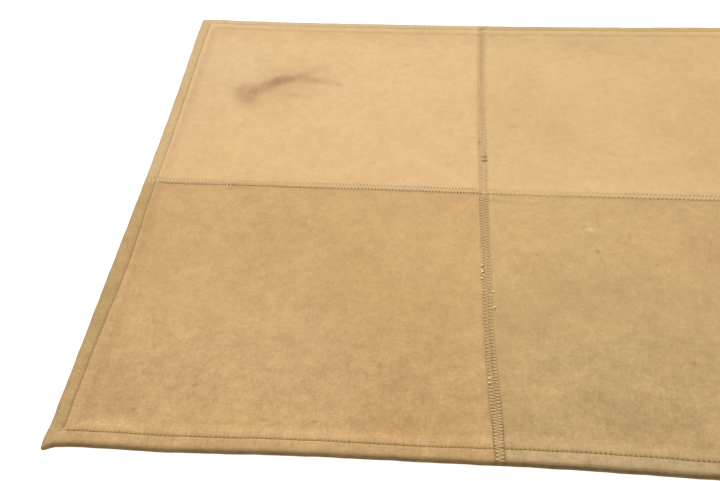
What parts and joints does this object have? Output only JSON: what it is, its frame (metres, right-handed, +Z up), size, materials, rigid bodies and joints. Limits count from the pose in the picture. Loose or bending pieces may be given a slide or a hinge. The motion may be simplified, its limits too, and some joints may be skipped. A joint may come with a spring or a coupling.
{
  "type": "leather patchwork mat",
  "caption": "Flat square mat of suede leather panels joined by zigzag seams, with a turned-under, stitched hem all round; lies on a floor or table.",
  "frame": {"origin": "centre of the mat's outline, on the surface that it lies on", "axes": "+X across the mat to the right, +Y away from the front edge, +Z up through its thickness"},
  "size_m": [0.8034, 0.815, 0.0066],
  "materials": {
    "suede_tan": "matt suede, nap up, tan",
    "suede_khaki": "matt suede, nap up, slightly olive tan",
    "suede_peach": "matt suede, nap up, pale peach tan with a brown stain",
    "suede_sand": "matt suede, nap up, pale sand"
  },
  "bodies": {
    "root": {"panel_near_left": "suede_tan", "panel_near_right": "suede_khaki", "panel_far_left": "suede_peach", "panel_far_right": "suede_sand"}
  },
  "joints": []
}
